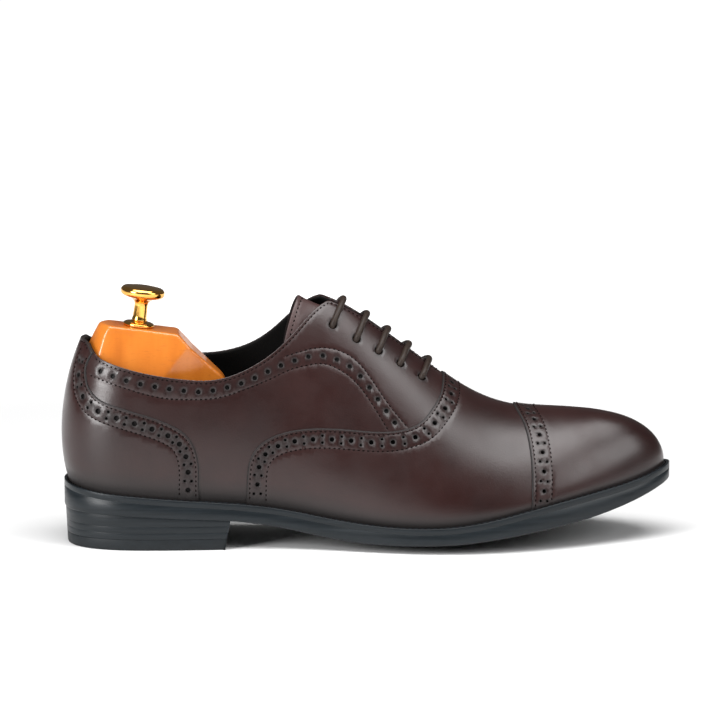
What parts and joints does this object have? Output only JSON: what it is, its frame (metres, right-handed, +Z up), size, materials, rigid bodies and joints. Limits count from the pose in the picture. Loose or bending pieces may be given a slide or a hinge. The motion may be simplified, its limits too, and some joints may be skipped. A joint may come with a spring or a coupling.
{
  "type": "leather oxford shoe",
  "caption": "Cap-toe oxford shoe in dark brown perforated leather, laced, with a stacked heel and a spring shoe tree of wood and brass inside.",
  "frame": {"origin": "middle of the heel's underside, on the ground, 40 mm in front of the heel's back", "axes": "+X towards the toe, +Y to the inner (medial) side of this right shoe, +Z up"},
  "size_m": [0.3042, 0.1029, 0.1293],
  "materials": {
    "upper_leather": "aniline calf leather, dark reddish brown, waxed to a soft shine",
    "tongue_leather": "dark brown calf leather",
    "lining": "thin black lining leather, matte",
    "insock": "thin black leather",
    "insole": "undyed insole leather",
    "cork": "granulated cork",
    "stiffener": "pressed fibre board",
    "sole_edge": "black edge dressing, satin",
    "welt": "black, stitched",
    "heel_stack": "stacked leather, black edge dressing with fine lines",
    "heel_rubber": "black rubber, satin",
    "lace": "round waxed cotton, dark brown",
    "aglet": "clear brown film over the lace's end",
    "tree_wood": "varnished beech, warm orange",
    "brass": "plain nail brass",
    "polished_brass": "polished, gold-coloured",
    "tree_metal": "nickel-plated steel",
    "spring_steel": "plain spring steel"
  },
  "bodies": {
    "root": {"outsole": "sole_edge", "welt": "welt", "insole_board": "insole", "insock": "insock", "shank": "spring_steel", "cork_filler": "cork", "top_lift": "heel_rubber", "heel_lift_1": "heel_stack", "heel_lift_2": "heel_stack", "heel_lift_3": "heel_stack", "heel_nails": "brass", "heel_counter": "stiffener", "toe_puff": "stiffener", "counter_cover": "upper_leather", "toe_cap": "upper_leather", "vamp": "upper_leather", "quarter_lateral": "upper_leather", "quarter_medial": "upper_leather", "vamp_lining": "lining", "quarter_lining": "lining", "tongue": "tongue_leather", "lace": "lace", "aglets": "aglet", "tree_toe_medial": "tree_wood", "tree_bracket": "tree_metal", "tree_bracket_screws": "tree_metal", "tree_hinge_pin": "tree_metal", "tree_guide_pins": "tree_metal", "tree_guide_springs": "spring_steel"},
    "tree_arm": {"tree_tube": "tree_metal", "tree_tube_spring": "spring_steel"},
    "tree_heel": {"tree_heel_block": "tree_wood", "tree_knob": "polished_brass", "tree_knob_collar": "polished_brass", "tree_knob_stud": "tree_metal", "tree_rod": "tree_metal", "tree_rod_collar": "polished_brass"},
    "tree_toe": {"tree_toe_lateral": "tree_wood"}
  },
  "joints": [
    {"name": "tree_lift", "type": "hinge", "parent": "root", "child": "tree_arm", "pos_m": [0.11, 0, 0.042], "axis": [0, 1, 0], "range_deg": [0, 6]},
    {"name": "tree_compress", "type": "slide", "parent": "tree_arm", "child": "tree_heel", "axis": [1, 0, 0], "range_m": [0, 0.008], "stiffness_N_per_m": 1500, "deforming": ["tree_tube_spring"]},
    {"name": "tree_toe_squeeze", "type": "slide", "parent": "root", "child": "tree_toe", "axis": [0, 1, 0], "range_m": [0, 0.0035], "stiffness_N_per_m": 1500, "deforming": ["tree_guide_springs"]}
  ]
}
